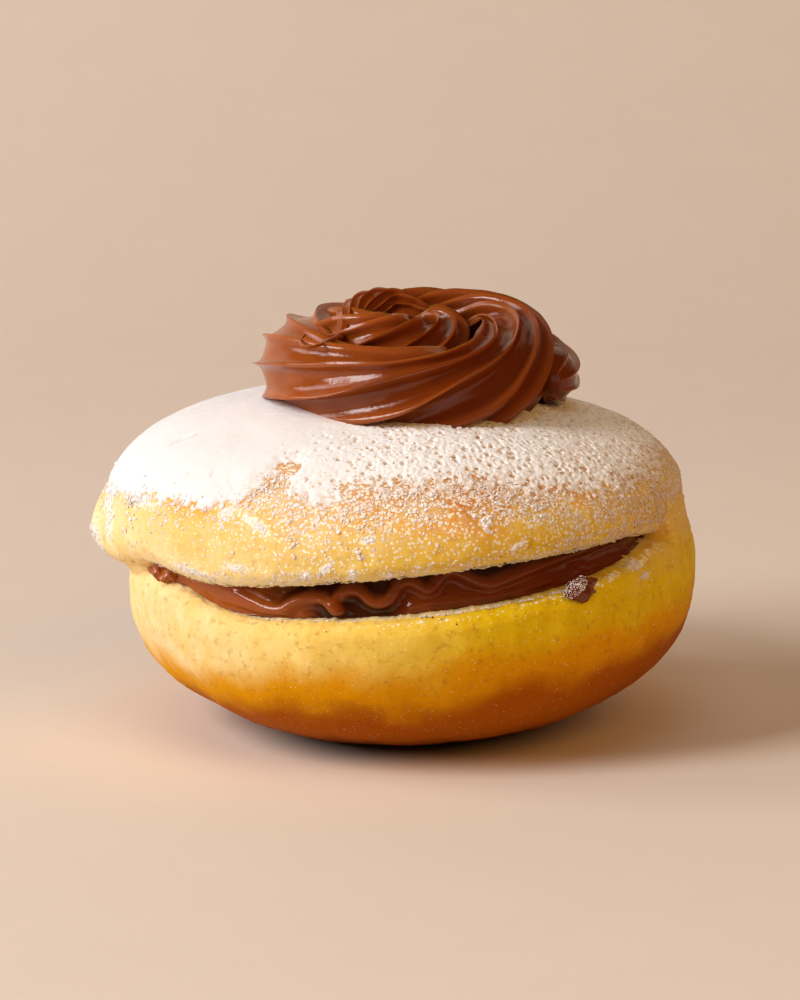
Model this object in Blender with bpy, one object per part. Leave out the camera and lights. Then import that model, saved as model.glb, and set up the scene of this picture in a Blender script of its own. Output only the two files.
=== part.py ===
"""A berliner: a round fried bun, slit along its front, filled with chocolate cream and topped with a piped rosette.

The bun stands on a small flat spot centred on the origin. +Z is up and the slit faces -Y. Lengths are in metres.
An azimuth is measured around the bun from the front, and is positive towards +X.
"""

import math

import bmesh
import bpy
from mathutils import Vector, noise

MM = 0.001
CLEARANCE = 0.3 * MM  # left between neighbouring pieces

# The bun: two halves, each rounder than an ellipse, that shifted a little as the bun was cut
BUN_HEIGHT = 52.4 * MM
FLAT_RADIUS = 17 * MM
UPPER_RADIUS = 46 * MM
UPPER_SHIFT = -1 * MM
LOWER_RADIUS = 45 * MM
LOWER_SHIFT = 2 * MM
UPPER_SQUARENESS = (2.25, -0.24)  # 2 is an ellipse; the second number is added at +X and taken off at -X
LOWER_SQUARENESS = (2.38, 0.07)
LUMP_DEPTH = 0.7 * MM
LUMP_SPACING = 19 * MM
NUB = {"azimuth": -88, "height": 30 * MM, "width": 6 * MM, "proud": 2.2 * MM}

# The slit, which narrows at its corners into a crease that runs round the back
CUT_HEIGHT = 29.2 * MM
CUT_TILT = 4.2 * MM
CUT_CENTRE = 3.5
CUT_HALF_ANGLE = 67.0
CUT_GAPE = 5.7 * MM
CREASE_GAPE = 0.9 * MM
CUT_DEPTH = 37 * MM
CREASE_DEPTH = 1.3 * MM
CORNERS = ((-60, 15, 3.3 * MM), (56, 14, 0.5 * MM))  # azimuth, spread, lift
LIP_HEIGHT = 2.6 * MM
LIP_ROUNDING = 2.8 * MM
OVERHANG = {"azimuth": -90, "spread": 34, "rounding": 3.2 * MM, "height": 3.0 * MM}  # of the upper half
SHOULDER = {"azimuth": 90, "spread": 34, "rounding": 1.4 * MM, "height": 3.6 * MM}  # of the lower half

# The filling, a slab of cream whose front edge is a folded bead
FILLING_AZIMUTHS = (-61.5, 68)
FILLING_RECESS = 1.5 * MM
UNDERCUT = 2.2 * MM  # how much further back the cream stands under the upper lip
BEAD_PROUD = 1.9 * MM
BEAD_WIDTH = 0.17  # share of the slit's opening
BEAD = (  # millimetres across the front, share of the way up the slit
    (-44, 0.60),
    (-34, 0.40),
    (-26, 0.22),
    (-19, 0.15),
    (-13.6, 0.56),
    (-9.6, 0.22),
    (-6.8, 0.76),
    (-2.8, 0.48),
    (0.5, 0.84),
    (3.8, 0.58),
    (7.0, 0.90),
    (13, 0.55),
    (26, 0.80),
    (44, 0.50),
)
NUBBIN = {"azimuth": -58.5, "spread": 3.6, "proud": 4.0 * MM, "droop": 0.6 * MM}

# The rosette: one star-shaped rope of cream, piped anticlockwise and inwards, then pulled off to the left
ROSETTE_CENTRE = Vector((1.1 * MM, 0, 0))
ROPE_RIDGES = 9
RIDGE_DEPTH = 0.27  # share of the rope's radius
RIDGE_SHARPNESS = 0.7  # 1 is a plain wave, and less is sharper
RIDGE_LEAN = 0.35
ROPE = (  # turns, spiral radius, height of the rope's centre, rope radius, turns of the star
    (-0.01, 23.4, 54.4, 3.6, -0.51),
    (0.03, 22.3, 55.0, 4.8, -0.47),
    (0.12, 19.2, 56.6, 6.0, -0.38),
    (0.28, 16.6, 57.4, 6.9, -0.22),
    (0.50, 16.8, 57.0, 7.4, 0.00),
    (0.66, 16.6, 56.0, 7.6, 0.10),
    (0.82, 17.0, 55.6, 7.9, 0.22),
    (0.90, 16.8, 56.8, 7.8, 0.30),
    (1.00, 15.8, 59.4, 7.2, 0.43),
    (1.15, 13.2, 60.6, 6.4, 0.63),
    (1.40, 10.0, 60.4, 5.8, 0.93),
    (1.65, 7.6, 60.3, 5.6, 1.23),
    (1.85, 6.0, 60.5, 5.3, 1.47),
    (2.02, 4.6, 61.0, 5.0, 1.67),
    (2.16, 3.4, 62.1, 4.6, 1.84),
    (2.30, 3.8, 64.4, 3.6, 2.00),
    (2.42, 6.4, 65.6, 2.6, 2.15),
    (2.50, 9.8, 64.9, 1.8, 2.24),
    (2.565, 12.0, 64.1, 1.3, 2.30),
    (2.605, 14.4, 63.9, 0.9, 2.33),
    (2.612, 17.4, 63.6, 0.65, 2.35),
    (2.606, 20.0, 62.2, 0.5, 2.36),
)

# The smear of cream on the lower lip
SMEAR = {"azimuth": 36.4, "height": 28.6 * MM, "size": Vector((2.6, 1.5, 2.1)) * MM}

# Mesh densities
BUN_COLUMNS = 60
BUN_CROWDING = 24.0  # degrees by which the columns are drawn towards the slit
BUN_ROWS = (2, 11, 3, 4, 4, 3, 12)  # for each stretch of the outline
FILLING_COLUMNS = 84
FACE_ROWS = 9
ROPE_STEPS = 260
ROPE_SIDES = 64
ROSETTE_VOXEL = 0.5 * MM
ROSETTE_FACES = 5900


def bump(value, centre, spread):
    """A smooth hill, 1 at its centre."""
    return math.exp(-(((value - centre) / spread) ** 2))


def mix(a, b, share):
    return a + (b - a) * share


def superellipse(share, squareness):
    """A quarter outline from its side, at 0, to its top, at 1, as shares of its half width and half height."""
    angle = share * math.pi / 2
    power = 2 / squareness
    return max(math.cos(angle), 0.0) ** power, max(math.sin(angle), 0.0) ** power


class Section:
    """The sizes of the bun at one azimuth, in degrees."""

    def __init__(self, azimuth):
        azimuth = (azimuth + 180) % 360 - 180
        turn = math.radians(azimuth)
        self.azimuth = azimuth
        self.upper = UPPER_RADIUS + UPPER_SHIFT * math.sin(turn)
        self.lower = LOWER_RADIUS + LOWER_SHIFT * math.sin(turn)
        self.upper_squareness = UPPER_SQUARENESS[0] + UPPER_SQUARENESS[1] * math.sin(turn)
        self.lower_squareness = LOWER_SQUARENESS[0] + LOWER_SQUARENESS[1] * math.sin(turn)
        self.open = max(0.0, 1 - ((azimuth - CUT_CENTRE) / CUT_HALF_ANGLE) ** 2)
        front = (1 + math.cos(turn)) / 2
        overhang = bump(azimuth, OVERHANG["azimuth"], OVERHANG["spread"])
        shoulder = bump(azimuth, SHOULDER["azimuth"], SHOULDER["spread"])
        self.upper_rounding = LIP_ROUNDING * front + OVERHANG["rounding"] * overhang
        self.lower_rounding = LIP_ROUNDING * front + SHOULDER["rounding"] * shoulder
        self.upper_lip_height = LIP_HEIGHT + OVERHANG["height"] * overhang
        self.lower_lip_height = LIP_HEIGHT + SHOULDER["height"] * shoulder
        self.cut = CUT_HEIGHT + CUT_TILT * math.sin(turn)
        self.cut += sum(lift * bump(azimuth, at, spread) for at, spread, lift in CORNERS)
        self.gape = CREASE_GAPE + CUT_GAPE * self.open**0.8
        self.depth = CREASE_DEPTH * front + CUT_DEPTH * self.open**0.7
        self.upper_lip = self.cut + self.gape / 2
        self.lower_lip = self.cut - self.gape / 2
        self.upper_mouth = self.upper - self.upper_rounding
        self.lower_mouth = self.lower - self.lower_rounding
        self.pocket_end = min(self.upper_mouth, self.lower_mouth) - self.depth
        self.pocket_height = mix(self.cut, CUT_HEIGHT, math.sqrt(self.open))

    def belly(self, share):
        """From the rim of the flat spot up to the widest line of the lower half."""
        widest = self.lower_lip - self.lower_lip_height
        flat = (FLAT_RADIUS / self.lower) ** self.lower_squareness
        half_height = widest / (1 - flat) ** (1 / self.lower_squareness)
        start = math.acos(math.sqrt(flat)) * 2 / math.pi
        across, down = superellipse(start * (1 - share), self.lower_squareness)
        return self.lower * across, widest - half_height * down

    def lower_edge(self, share):
        inwards, up = 1 - math.cos(share * math.pi / 2), math.sin(share * math.pi / 2)
        return self.lower - self.lower_rounding * inwards, self.lower_lip - self.lower_lip_height * (1 - up)

    def wall(self, share, upper):
        """A face of the cut, from the lip, at 0, to the pocket's end, at 1."""
        mouth, lip = (self.upper_mouth, self.upper_lip) if upper else (self.lower_mouth, self.lower_lip)
        inwards = math.sin(share * math.pi / 2)
        narrowing = math.sqrt(max(0.0, 1 - inwards**3))
        return mix(mouth, self.pocket_end, inwards), mix(self.pocket_height, lip, narrowing)

    def upper_edge(self, share):
        inwards, down = 1 - math.sin(share * math.pi / 2), math.cos(share * math.pi / 2)
        height = self.upper_lip + self.upper_lip_height * (1 - down)
        return self.upper - self.upper_rounding * inwards, height

    def dome(self, share):
        widest = self.upper_lip + self.upper_lip_height
        across, up = superellipse(share, self.upper_squareness)
        return self.upper * across, widest + (BUN_HEIGHT - widest) * up

    def outline(self, row):
        """(distance from the axis, height) up the outline. Each of its seven stretches is 1 long in row."""
        stretch = min(int(row), 6)
        share = row - stretch
        if stretch == 0:
            return FLAT_RADIUS * share, 0.0
        return (
            self.belly,
            self.lower_edge,
            lambda s: self.wall(s, upper=False),
            lambda s: self.wall(1 - s, upper=True),
            self.upper_edge,
            self.dome,
        )[stretch - 1](share)


def outwards(azimuth):
    """The level direction that points away from the axis at an azimuth."""
    turn = math.radians(azimuth)
    return Vector((math.sin(turn), -math.cos(turn), 0))


def lumps(point, row):
    """How far the dough stands proud of its smooth outline. The flat spot and the cut faces have none."""
    if not 1 < row < 7 or 3 <= row <= 5:
        return 0.0
    fade = min(1.0, row - 1, abs(row - 3), abs(row - 5))
    nub_at = outwards(NUB["azimuth"]) * UPPER_RADIUS + Vector((0, 0, NUB["height"]))
    nub = NUB["proud"] * bump((point - nub_at).length, 0, NUB["width"]) * (row > 5)
    return fade * (LUMP_DEPTH * noise.noise(point / LUMP_SPACING) + nub)


def bun_point(azimuth, row):
    """A point of the bun's surface."""
    radius, height = Section(azimuth).outline(row)
    level = outwards(azimuth)
    point = level * radius + Vector((0, 0, height))
    rise = max(0.0, height - CUT_HEIGHT) / (BUN_HEIGHT - CUT_HEIGHT)
    proud = (level * min(1.0, radius / UPPER_RADIUS * 1.5) + Vector((0, 0, rise * rise))).normalized()
    return point + proud * lumps(point, row)


def material(name, colour, roughness):
    made = bpy.data.materials.new(name)
    made.use_nodes = True
    shader = made.node_tree.nodes["Principled BSDF"]
    shader.inputs["Base Color"].default_value = (*colour, 1)
    shader.inputs["Roughness"].default_value = roughness
    shader.inputs["Metallic"].default_value = 0
    return made


def finish(name, bm, made_of):
    """Turns a bmesh into a smooth-shaded object."""
    bmesh.ops.recalc_face_normals(bm, faces=bm.faces)
    mesh = bpy.data.meshes.new(name)
    bm.to_mesh(mesh)
    bm.free()
    mesh.shade_smooth()
    mesh.materials.append(made_of)
    obj = bpy.data.objects.new(name, mesh)
    bpy.context.scene.collection.objects.link(obj)
    return obj


def bun_mesh(clearance=0.0):
    """The outline is spun once round the axis, and each column is then given its own section."""
    bm = bmesh.new()
    row_layer = bm.verts.layers.float.new("row")
    rows = [stretch + step / steps for stretch, steps in enumerate(BUN_ROWS) for step in range(steps)] + [7.0]
    front = Section(0)
    for row in rows:
        radius, height = front.outline(row)
        bm.verts.new((0, -radius, height))[row_layer] = row
    bm.verts.ensure_lookup_table()
    edges = [bm.edges.new(pair) for pair in zip(bm.verts, bm.verts[1:])]
    profile = list(bm.verts) + edges
    turn = {"cent": (0, 0, 0), "axis": (0, 0, 1), "angle": 2 * math.pi, "steps": BUN_COLUMNS}
    bmesh.ops.spin(bm, geom=profile, use_merge=True, **turn)
    bmesh.ops.remove_doubles(bm, verts=bm.verts, dist=CLEARANCE / 100)
    for vert in bm.verts:
        turn = math.atan2(vert.co.x, -vert.co.y)
        azimuth = math.degrees(turn) - BUN_CROWDING * math.sin(turn)
        vert.co = bun_point(azimuth, vert[row_layer])
    bmesh.ops.recalc_face_normals(bm, faces=bm.faces)
    bm.normal_update()
    for vert in bm.verts:
        vert.co += vert.normal * clearance
    return bm


def catmull_rom(values, share):
    """A smooth curve through four values, between the second and the third."""
    a, b, c, d = values
    return b + share / 2 * (c - a + share * (2 * a - 5 * b + 4 * c - d + share * (3 * (b - c) + d - a)))


def along(table, place):
    """A row of a table, read smoothly at a place counted in rows."""
    last = len(table) - 1
    place = min(max(place, 0.0), last)
    at = min(int(place), last - 1)
    rows = [table[min(max(at + step, 0), last)] for step in (-1, 0, 1, 2)]
    return [catmull_rom(column, place - at) for column in zip(*rows)]


def bead_share(across):
    """Where the filling's bead runs in the slit, from 0 at the lower lip to 1 at the upper."""
    across /= MM
    at = max(row for row in range(len(BEAD) - 1) if BEAD[row][0] <= max(across, BEAD[0][0]))
    fold = (across - BEAD[at][0]) / (BEAD[at + 1][0] - BEAD[at][0])
    return along(BEAD, at + min(fold, 1.0))[1]


def filling_section(azimuth):
    """The filling's closed outline at one azimuth: out along the lower wall, up the front, back along the upper wall."""
    section = Section(azimuth)
    nubbin = bump(azimuth, NUBBIN["azimuth"], NUBBIN["spread"])
    depth_of_face = FILLING_RECESS - NUBBIN["proud"] * nubbin
    front = min(section.upper_mouth, section.lower_mouth) - depth_of_face
    start = math.asin(min(0.4, max(0.0, depth_of_face) / section.depth)) * 2 / math.pi
    shares = [1 - step / BUN_ROWS[3] for step in range(1, BUN_ROWS[3])]
    lower, upper = ([section.wall(share, side) for share in shares] for side in (False, True))
    low, high = (section.wall(start, side)[1] for side in (False, True))
    bead_at = bead_share(math.sin(math.radians(azimuth)) * section.upper)
    squeeze = min(CLEARANCE, section.gape / 4)
    points = [(radius, height + squeeze) for radius, height in lower]
    for row in range(FACE_ROWS + 1):
        share = row / FACE_ROWS
        bead = BEAD_PROUD * bump(share, bead_at, BEAD_WIDTH)
        sag = UNDERCUT * section.open * share**2
        droop = NUBBIN["droop"] * nubbin * (1 - share)
        points.append((front + bead - sag, mix(low + squeeze, high - squeeze, share) - droop))
    points += [(radius, height - squeeze) for radius, height in reversed(upper)]
    level = outwards(azimuth)
    return [level * radius + Vector((0, 0, height)) for radius, height in points]


def filling_mesh():
    """One face across the slit's left end, extruded round the slit section by section."""
    bm = bmesh.new()
    first, last = FILLING_AZIMUTHS
    ring = [bm.verts.new(point) for point in filling_section(first)]
    bm.faces.new(ring)
    for column in range(1, FILLING_COLUMNS + 1):
        azimuth = mix(first, last, column / FILLING_COLUMNS)
        following = [bm.verts.new(point) for point in filling_section(azimuth)]
        edges = [bm.edges.new(pair) for pair in zip(following, following[1:] + following[:1])]
        for a, b in zip(range(len(ring)), list(range(1, len(ring))) + [0]):
            bm.faces.new((ring[a], ring[b], following[b], following[a]))
        ring = following
    bmesh.ops.contextual_create(bm, geom=edges)
    bmesh.ops.triangulate(bm, faces=bm.faces)
    return bm


def rope_at(share):
    """(centre, radius, turn of the star) along the rope, from 0 to 1."""
    turns, spiral, height, radius, star = along(ROPE, share * (len(ROPE) - 1))
    turn = 2 * math.pi * turns
    out = Vector((math.cos(turn), math.sin(turn), 0))
    return ROSETTE_CENTRE + out * spiral * MM + Vector((0, 0, height * MM)), radius * MM, 2 * math.pi * star


def star_reach(angle):
    """How far the rope's star outline reaches at an angle: sharp ridges that lean over rounded valleys."""
    leaning = angle + RIDGE_LEAN / ROPE_RIDGES * math.sin(ROPE_RIDGES * angle)
    valley = abs(math.sin(ROPE_RIDGES * leaning / 2)) ** RIDGE_SHARPNESS
    return 1 - RIDGE_DEPTH * valley


def rope_mesh():
    """A star outline, extruded along the spiral."""
    bm = bmesh.new()
    ring = None
    step_back = 1 / ROPE_STEPS / 2
    for step in range(ROPE_STEPS + 1):
        share = step / ROPE_STEPS
        centre, radius, phase = rope_at(share)
        ahead = (rope_at(min(1.0, share + step_back))[0] - rope_at(max(0.0, share - step_back))[0]).normalized()
        out = ahead.cross(Vector((0, 0, 1))).normalized()
        up = out.cross(ahead)
        following = []
        for side in range(ROPE_SIDES):
            angle = 2 * math.pi * side / ROPE_SIDES
            reach = radius * star_reach(angle - phase)
            following.append(bm.verts.new(centre + (out * math.cos(angle) + up * math.sin(angle)) * reach))
        if ring is None:
            bm.faces.new(following)
        else:
            for a, b in zip(range(ROPE_SIDES), list(range(1, ROPE_SIDES)) + [0]):
                bm.faces.new((ring[a], ring[b], following[b], following[a]))
        ring = following
    bm.faces.new(reversed(ring))
    return bm


def rosette(cream, bun_and_gap):
    """The rope's turns are fused into one body, thinned to few faces and seated on the bun."""
    made = finish("cream_rosette", rope_mesh(), cream)
    fuse = made.modifiers.new("fuse", "REMESH")
    fuse.mode = "VOXEL"
    fuse.voxel_size = ROSETTE_VOXEL
    fuse.use_smooth_shade = True
    bpy.context.view_layer.update()
    graph = bpy.context.evaluated_depsgraph_get()
    fused_faces = len(made.evaluated_get(graph).data.polygons)
    soften = made.modifiers.new("soften", "SMOOTH")
    soften.factor = 0.5
    soften.iterations = 2
    thin = made.modifiers.new("thin", "DECIMATE")
    thin.ratio = ROSETTE_FACES / (2 * fused_faces)
    seat(made, bun_and_gap)


def seat(made, bun_and_gap):
    """Cuts a piece back to the bun's surface, with the clearance left between them."""
    cut = made.modifiers.new("seat", "BOOLEAN")
    cut.operation = "DIFFERENCE"
    cut.object = bun_and_gap


def smear(cream, bun_and_gap):
    """A lump of cream pressed onto the lower lip."""
    bm = bmesh.new()
    bmesh.ops.create_icosphere(bm, subdivisions=3, radius=1)
    level = outwards(SMEAR["azimuth"])
    side = level.cross(Vector((0, 0, 1)))
    centre = level * (Section(SMEAR["azimuth"]).lower - 0.4 * MM) + Vector((0, 0, SMEAR["height"]))
    for vert in bm.verts:
        x, y, z = vert.co * (1 + 0.25 * noise.noise(vert.co * 1.7))
        width, proud, height = SMEAR["size"]
        vert.co = centre + side * x * width + level * y * proud + Vector((0, 0, z * height))
    seat(finish("cream_smear", bm, cream), bun_and_gap)


def build():
    for obj in list(bpy.data.objects):
        bpy.data.objects.remove(obj)
    crust = material("fried_crust", (0.72, 0.42, 0.10), 0.6)
    cream = material("chocolate_cream", (0.16, 0.05, 0.02), 0.3)
    finish("bun", bun_mesh(), crust)
    bun_and_gap = finish("bun_and_gap", bun_mesh(CLEARANCE), crust)
    bun_and_gap.hide_render = True
    bun_and_gap.display_type = "WIRE"
    finish("cream_filling", filling_mesh(), cream)
    rosette(cream, bun_and_gap)
    smear(cream, bun_and_gap)


build()
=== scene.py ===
# %% [markdown]
# # A berliner, cell by cell
# A berliner is a round yeast bun, fried until the top and the bottom brown while the middle floats clear of the oil
# and stays pale. This one is slit along its front, filled with chocolate cream, dusted with powdered sugar and
# finished with a piped rosette. Each cell makes one piece or one finish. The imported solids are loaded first, and every
# piece is fitted to them. Lengths are in metres, +Z is up and the slit faces -Y.

import math

import bmesh
import bpy
import numpy as np
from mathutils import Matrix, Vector, noise


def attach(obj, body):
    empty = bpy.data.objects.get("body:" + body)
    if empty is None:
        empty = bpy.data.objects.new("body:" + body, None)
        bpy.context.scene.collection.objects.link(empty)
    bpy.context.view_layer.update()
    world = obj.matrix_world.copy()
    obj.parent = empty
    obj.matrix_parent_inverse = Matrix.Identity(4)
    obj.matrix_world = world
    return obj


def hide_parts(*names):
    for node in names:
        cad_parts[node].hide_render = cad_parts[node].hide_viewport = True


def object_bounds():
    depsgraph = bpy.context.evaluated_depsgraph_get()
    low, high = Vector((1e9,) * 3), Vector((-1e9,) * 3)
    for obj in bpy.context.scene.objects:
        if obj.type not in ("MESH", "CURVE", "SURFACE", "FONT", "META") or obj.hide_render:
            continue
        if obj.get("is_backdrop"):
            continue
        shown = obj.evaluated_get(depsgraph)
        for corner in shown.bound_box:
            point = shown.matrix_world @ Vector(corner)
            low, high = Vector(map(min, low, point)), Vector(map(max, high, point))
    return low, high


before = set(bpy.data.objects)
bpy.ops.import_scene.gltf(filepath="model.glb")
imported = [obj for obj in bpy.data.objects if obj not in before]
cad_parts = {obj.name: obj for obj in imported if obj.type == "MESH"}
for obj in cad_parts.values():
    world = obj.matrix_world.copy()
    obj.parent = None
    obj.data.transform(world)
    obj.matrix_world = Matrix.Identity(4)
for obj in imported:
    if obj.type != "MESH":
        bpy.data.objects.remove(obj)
CAD_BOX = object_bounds()
MM = 0.001
print("nodes:", sorted(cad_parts))
print("size of the solids in mm:", [round((high - low) / MM, 1) for low, high in zip(*CAD_BOX)])

# %% [markdown]
# ## Small tools for numbers
# Every surface here has some tens of thousands of points. Numpy works on all of them at once, so each helper takes
# whole arrays. A bump is a smooth hill, a rise is a smooth step, and Blender's own noise, the same at each run, gives
# the unevenness that dough, cream and sugar have.


# %% Helpers for arrays
def bump(value, centre, spread):
    """A smooth hill, 1 at its centre."""
    return np.exp(-(((value - centre) / spread) ** 2))


def mix(a, b, share):
    return a + (b - a) * share


def rise(value, start, end):
    """A smooth step from 0 at start to 1 at end."""
    share = np.clip((value - start) / (end - start), 0, 1)
    return share * share * (3 - 2 * share)


def uneven(points, spacing, octaves=1, seed=0.0):
    """Smooth noise, about -1 to 1, whose lumps are spacing apart, in mm."""
    total = np.zeros(len(points))
    for octave in range(octaves):
        places = (points / (spacing * MM) * 2**octave + seed + 7.3 * octave).tolist()
        total += np.array([noise.noise(place) for place in places]) / 2**octave
    return total


def cells(points, spacing, seed=0.0):
    """Points scattered about spacing apart, in mm. Returns how many spacings away the nearest one is, and a chance
    from 0 to 1 that belongs to it."""
    found = [noise.voronoi(place) for place in (points / (spacing * MM) + seed).tolist()]
    nearest = np.array([places[0] for _, places in found])
    chance = np.modf(np.abs(np.sin(nearest @ np.array([12.9, 78.2, 37.7])) * 437.6))[0]
    return np.array([distances[0] for distances, _ in found]), chance


def outwards(azimuth):
    """The level direction away from the axis. An azimuth counts degrees from the front towards +X."""
    turn = np.radians(azimuth)
    return np.stack([np.sin(turn), -np.cos(turn), np.zeros_like(turn)], axis=-1)


def around(azimuth):
    """The same azimuth between -180 and 180 degrees."""
    return (azimuth + 180) % 360 - 180


def unit(vectors):
    """The same directions, 1 long."""
    return vectors / np.maximum(np.linalg.norm(vectors, axis=1), 1e-12)[:, None]


def azimuth_of(points):
    return np.degrees(np.arctan2(points[:, 0], -points[:, 1]))


# %% [markdown]
# ## The shape of the bun
# A fried bun is a squashed ball. Seen from the side, each half is a little squarer than an ellipse, so each is given
# as a superellipse. The slit gapes at the front and narrows to a crease that runs round the back. The numbers are the
# ones that the solids were made from, so the finer surfaces lie on them. Only the slit's right end is narrower here.

# %% Sizes of the bun and its slit
BUN_HEIGHT, FLAT_RADIUS = 52.4 * MM, 17 * MM
UPPER_RADIUS, UPPER_SHIFT, UPPER_SQUARENESS = 46 * MM, -1 * MM, (2.25, -0.24)
LOWER_RADIUS, LOWER_SHIFT, LOWER_SQUARENESS = 45 * MM, 2 * MM, (2.38, 0.07)
LUMP_DEPTH, LUMP_SPACING = 0.7 * MM, 19
NUB_AZIMUTH, NUB_HEIGHT, NUB_WIDTH, NUB_PROUD = -88.0, 30 * MM, 6 * MM, 2.2 * MM
CUT_HEIGHT, CUT_TILT, CUT_CENTRE, CUT_HALF_ANGLE = 29.2 * MM, 4.2 * MM, 3.5, 67.0
CUT_GAPE, CREASE_GAPE, CUT_DEPTH, CREASE_DEPTH = 5.7 * MM, 0.9 * MM, 37 * MM, 1.3 * MM
CORNERS = ((-60, 15, 3.3 * MM), (56, 14, 0.5 * MM))  # azimuth, spread, lift
RIGHT_END = (50, 68, 0.75)  # azimuths between which the slit narrows, and by what share
LIP_HEIGHT, LIP_ROUNDING = 2.6 * MM, 2.8 * MM
OVERHANG = (-90, 34, 3.2 * MM, 3.0 * MM)  # azimuth and spread, then how much rounder and higher the lip is there
SHOULDER = (90, 34, 1.4 * MM, 3.6 * MM)


def superellipse(share, squareness):
    """A quarter outline from its side, at 0, to its top, at 1."""
    angle = share * np.pi / 2
    power = 2 / squareness
    return np.maximum(np.cos(angle), 0) ** power, np.maximum(np.sin(angle), 0) ** power


class Section:
    """The upright section of the bun at each azimuth of an array."""

    def __init__(self, azimuth):
        azimuth = around(azimuth)
        across, front = np.sin(np.radians(azimuth)), (1 + np.cos(np.radians(azimuth))) / 2
        self.upper, self.lower = UPPER_RADIUS + UPPER_SHIFT * across, LOWER_RADIUS + LOWER_SHIFT * across
        self.upper_squareness = UPPER_SQUARENESS[0] + UPPER_SQUARENESS[1] * across
        self.lower_squareness = LOWER_SQUARENESS[0] + LOWER_SQUARENESS[1] * across
        self.open = np.maximum(0, 1 - ((azimuth - CUT_CENTRE) / CUT_HALF_ANGLE) ** 2)
        overhang, shoulder = bump(azimuth, *OVERHANG[:2]), bump(azimuth, *SHOULDER[:2])
        self.upper_rounding = LIP_ROUNDING * front + OVERHANG[2] * overhang
        self.lower_rounding = LIP_ROUNDING * front + SHOULDER[2] * shoulder
        self.upper_lip_height = LIP_HEIGHT + OVERHANG[3] * overhang
        self.lower_lip_height = LIP_HEIGHT + SHOULDER[3] * shoulder
        self.cut = CUT_HEIGHT + CUT_TILT * across
        for at, spread, lift in CORNERS:
            self.cut = self.cut + lift * bump(azimuth, at, spread)
        self.gape = CREASE_GAPE + CUT_GAPE * self.open**0.8 * (1 - RIGHT_END[2] * rise(azimuth, *RIGHT_END[:2]))
        self.depth = CREASE_DEPTH * front + CUT_DEPTH * self.open**0.7
        self.upper_lip, self.lower_lip = self.cut + self.gape / 2, self.cut - self.gape / 2
        self.mouths = self.lower - self.lower_rounding, self.upper - self.upper_rounding
        self.pocket_end = np.minimum(*self.mouths) - self.depth
        self.pocket_height = mix(self.cut, CUT_HEIGHT, np.sqrt(self.open))

    def belly(self, share):
        widest = self.lower_lip - self.lower_lip_height
        flat = (FLAT_RADIUS / self.lower) ** self.lower_squareness
        start = np.arccos(np.sqrt(flat)) * 2 / np.pi
        across, down = superellipse(start * (1 - share), self.lower_squareness)
        return self.lower * across, widest - widest / (1 - flat) ** (1 / self.lower_squareness) * down

    def lower_edge(self, share):
        inwards, up = 1 - np.cos(share * np.pi / 2), np.sin(share * np.pi / 2)
        return self.lower - self.lower_rounding * inwards, self.lower_lip - self.lower_lip_height * (1 - up)

    def wall(self, share, side):
        """A face of the cut, lower at side 0 and upper at side 1, from its lip inwards."""
        inwards = np.sin(share * np.pi / 2)
        narrowing = np.sqrt(np.maximum(0, 1 - inwards**3))
        lip = (self.lower_lip, self.upper_lip)[side]
        return mix(self.mouths[side], self.pocket_end, inwards), mix(self.pocket_height, lip, narrowing)

    def upper_edge(self, share):
        inwards, down = 1 - np.sin(share * np.pi / 2), np.cos(share * np.pi / 2)
        return self.upper - self.upper_rounding * inwards, self.upper_lip + self.upper_lip_height * (1 - down)

    def dome(self, share):
        widest = self.upper_lip + self.upper_lip_height
        across, up = superellipse(share, self.upper_squareness)
        return self.upper * across, widest + (BUN_HEIGHT - widest) * up

    def outline(self, row):
        """Distance from the axis and height, up the outline. Each of its seven stretches is 1 long in row, so the lips
        are at rows 3 and 5, and the pocket's end is at row 4."""
        stretch = np.minimum(row.astype(int), 6)
        share = row - stretch
        shapes = np.array([
            (FLAT_RADIUS * share, 0 * share), self.belly(share), self.lower_edge(share), self.wall(share, 0),
            self.wall(1 - share, 1), self.upper_edge(share), self.dome(share),
        ])
        return np.take_along_axis(shapes, stretch[None, None], axis=0)[0]


print("slit gapes", round(float(Section(np.array([CUT_CENTRE])).gape[0] / MM), 1), "mm at its middle")

# %% [markdown]
# The smooth outline gets the bun's own unevenness: soft lumps from proofing and frying, and a small nub at the left
# where two edges of dough met. The solid bun has both. Just beyond each end of the slit a web of uncut dough fills the
# crease, which is drawn only here.


# %% Points of the crust
WEBS = (  # azimuths where a web begins and is whole, the rows it spans, how full it is, how straight it climbs
    (CUT_CENTRE - CUT_HALF_ANGLE + 2, CUT_CENTRE - CUT_HALF_ANGLE - 7, 2.45, 5.5, 0.75, 0.0),
    (64, 69, 2.1, 6.12, 0.94, 1.0),
)


def lumps(points, row):
    """How far the dough stands proud of its smooth outline."""
    fade = np.clip(np.minimum(np.minimum(row - 1, np.abs(row - 3)), np.abs(row - 5)), 0, 1)
    fade = fade * (row < 7) * ((row < 3) | (row > 5))
    nub_at = outwards(np.array([NUB_AZIMUTH]))[0] * UPPER_RADIUS + np.array([0, 0, NUB_HEIGHT])
    nub = NUB_PROUD * bump(np.linalg.norm(points - nub_at, axis=1), 0, NUB_WIDTH) * (row > 5)
    return fade * (LUMP_DEPTH * uneven(points, LUMP_SPACING) + nub)


def cut_points(azimuth, row):
    """Points of the bun's surface with a slit that runs all round."""
    radius, height = Section(azimuth).outline(row)
    level = outwards(azimuth)
    points = level * radius[:, None]
    points[:, 2] = height
    climb = np.maximum(0, height - CUT_HEIGHT) / (BUN_HEIGHT - CUT_HEIGHT)
    proud = level * np.minimum(1, radius / UPPER_RADIUS * 1.5)[:, None]
    proud[:, 2] = climb**2
    return points + unit(proud) * lumps(points, row)[:, None]


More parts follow.
